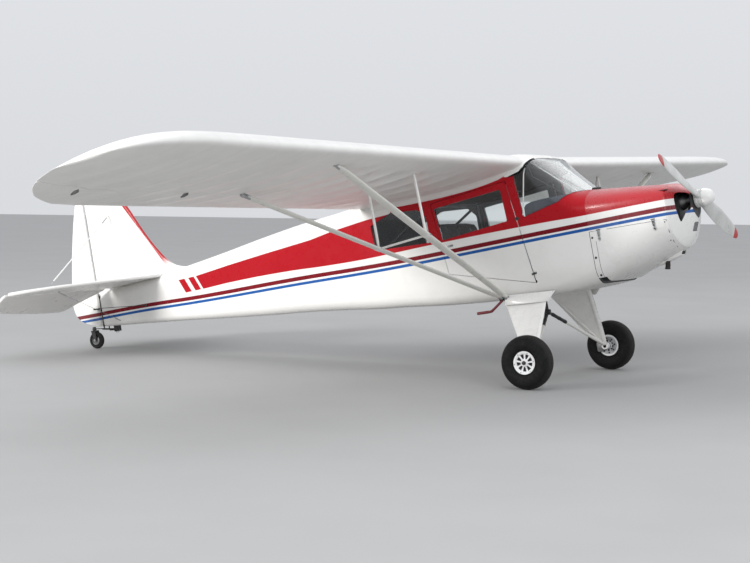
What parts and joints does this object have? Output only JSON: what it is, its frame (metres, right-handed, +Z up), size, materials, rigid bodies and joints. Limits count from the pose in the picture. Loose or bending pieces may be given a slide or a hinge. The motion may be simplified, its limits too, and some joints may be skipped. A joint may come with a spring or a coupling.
{
  "type": "light aircraft",
  "caption": "Light aircraft with a high strut-braced wing, side-by-side cabin, fixed main wheels and a steerable tail wheel, standing as it parks.",
  "frame": {"origin": "on the floor, under the middle of the bounding box", "axes": "+X towards the nose, +Y to port, +Z up"},
  "size_m": [6.734, 10.972, 1.979],
  "materials": {
    "white_paint": "gloss",
    "white_fabric": "satin",
    "red_paint": "gloss",
    "silver_paint": "satin",
    "black_paint": "satin",
    "step_paint": "satin",
    "bare_metal": "satin",
    "dark_metal": "matte",
    "tyre_rubber": "matte",
    "seat_cloth": "matte",
    "clear_pane": "gloss",
    "panel_black": "matte",
    "seat_ply": "matte"
  },
  "bodies": {
    "airframe": {"brace_wires_left": "bare_metal", "brace_wires_right": "bare_metal", "cabane": "black_paint", "cabin_shell": "white_paint", "chin_scoop": "white_paint", "cowl": "red_paint", "engine": "dark_metal", "fin": "white_fabric", "front_strut_left": "silver_paint", "front_strut_right": "silver_paint", "fuel_cap": "black_paint", "instrument_panel": "panel_black", "jury_struts_left": "silver_paint", "jury_struts_right": "silver_paint", "main_leg_left": "white_paint", "main_leg_right": "white_paint", "nose_bowl": "white_paint", "rear_strut_left": "silver_paint", "rear_strut_right": "silver_paint", "rear_window_left": "clear_pane", "rear_window_right": "clear_pane", "seat_back": "seat_cloth", "seat_base": "seat_ply", "seat_cushion": "seat_cloth", "shock_strut_left": "black_paint", "shock_strut_right": "black_paint", "stabiliser_left": "white_fabric", "stabiliser_right": "white_fabric", "step_left": "step_paint", "step_right": "step_paint", "tail_cone": "white_fabric", "tail_spring": "black_paint", "windshield": "clear_pane", "wing_left": "white_fabric", "wing_right": "white_fabric"},
    "propeller": {"propeller": "bare_metal", "propeller_dome": "silver_paint"},
    "wheel_left": {"tyre_left": "tyre_rubber", "hub_left": "bare_metal"},
    "wheel_right": {"tyre_right": "tyre_rubber", "hub_right": "bare_metal"},
    "tail_caster": {"tail_fork": "black_paint"},
    "tail_wheel": {"tail_wheel": "tyre_rubber"},
    "rudder": {"rudder": "white_fabric"},
    "elevator": {"elevator": "white_fabric"},
    "aileron_left": {"aileron_left": "white_fabric"},
    "aileron_right": {"aileron_right": "white_fabric"},
    "door_left": {"door_left": "red_paint", "door_window_left": "clear_pane"},
    "door_right": {"door_right": "red_paint", "door_window_right": "clear_pane"}
  },
  "joints": [
    {"name": "propeller_spin", "type": "hinge", "parent": "airframe", "child": "propeller", "pos_m": [3.24636, 0, 1.55697], "axis": [0.9799, 0, 0.1994], "continuous": true},
    {"name": "wheel_left_spin", "type": "hinge", "parent": "airframe", "child": "wheel_left", "pos_m": [2.12193, 0.9, 0.222], "axis": [0, 1, 0], "continuous": true},
    {"name": "wheel_right_spin", "type": "hinge", "parent": "airframe", "child": "wheel_right", "pos_m": [2.12193, -0.9, 0.222], "axis": [0, 1, 0], "continuous": true},
    {"name": "tail_caster_steer", "type": "hinge", "parent": "airframe", "child": "tail_caster", "pos_m": [-3.08428, 0, 0.19041], "axis": [-0.1994, 0, 0.9799], "range_deg": [-25, 25]},
    {"name": "tail_wheel_spin", "type": "hinge", "parent": "tail_caster", "child": "tail_wheel", "pos_m": [-3.05243, 0, 0.084], "axis": [0, 1, 0], "continuous": true},
    {"name": "rudder_turn", "type": "hinge", "parent": "airframe", "child": "rudder", "pos_m": [-3.09042, 0, 0.85758], "axis": [-0.1994, 0, 0.9799], "range_deg": [-26, 26]},
    {"name": "elevator_tilt", "type": "hinge", "parent": "airframe", "child": "elevator", "pos_m": [-2.8749, 0, 0.6259], "axis": [0, 1, 0], "range_deg": [-7, 45]},
    {"name": "aileron_left_tilt", "type": "hinge", "parent": "airframe", "child": "aileron_left", "pos_m": [0.75771, 4, 1.64065], "axis": [-0.0037, 0.9998, 0.018], "range_deg": [-23, 23]},
    {"name": "aileron_right_tilt", "type": "hinge", "parent": "airframe", "child": "aileron_right", "pos_m": [0.75771, -4, 1.64065], "axis": [0.0037, 0.9998, -0.018], "range_deg": [-23, 23]},
    {"name": "door_left_hinge", "type": "hinge", "parent": "airframe", "child": "door_left", "pos_m": [1.8744, 0.508, 1.26815], "axis": [0.3443, 0, -0.9389], "range_deg": [0, 36]},
    {"name": "door_right_hinge", "type": "hinge", "parent": "airframe", "child": "door_right", "pos_m": [1.8744, -0.508, 1.26815], "axis": [-0.3443, 0, 0.9389], "range_deg": [0, 36]}
  ],
  "couplings": [
    {"joint": "aileron_right_tilt", "follows": "aileron_left_tilt", "ratio": -1},
    {"joint": "tail_caster_steer", "follows": "rudder_turn", "ratio": 0.9615}
  ]
}
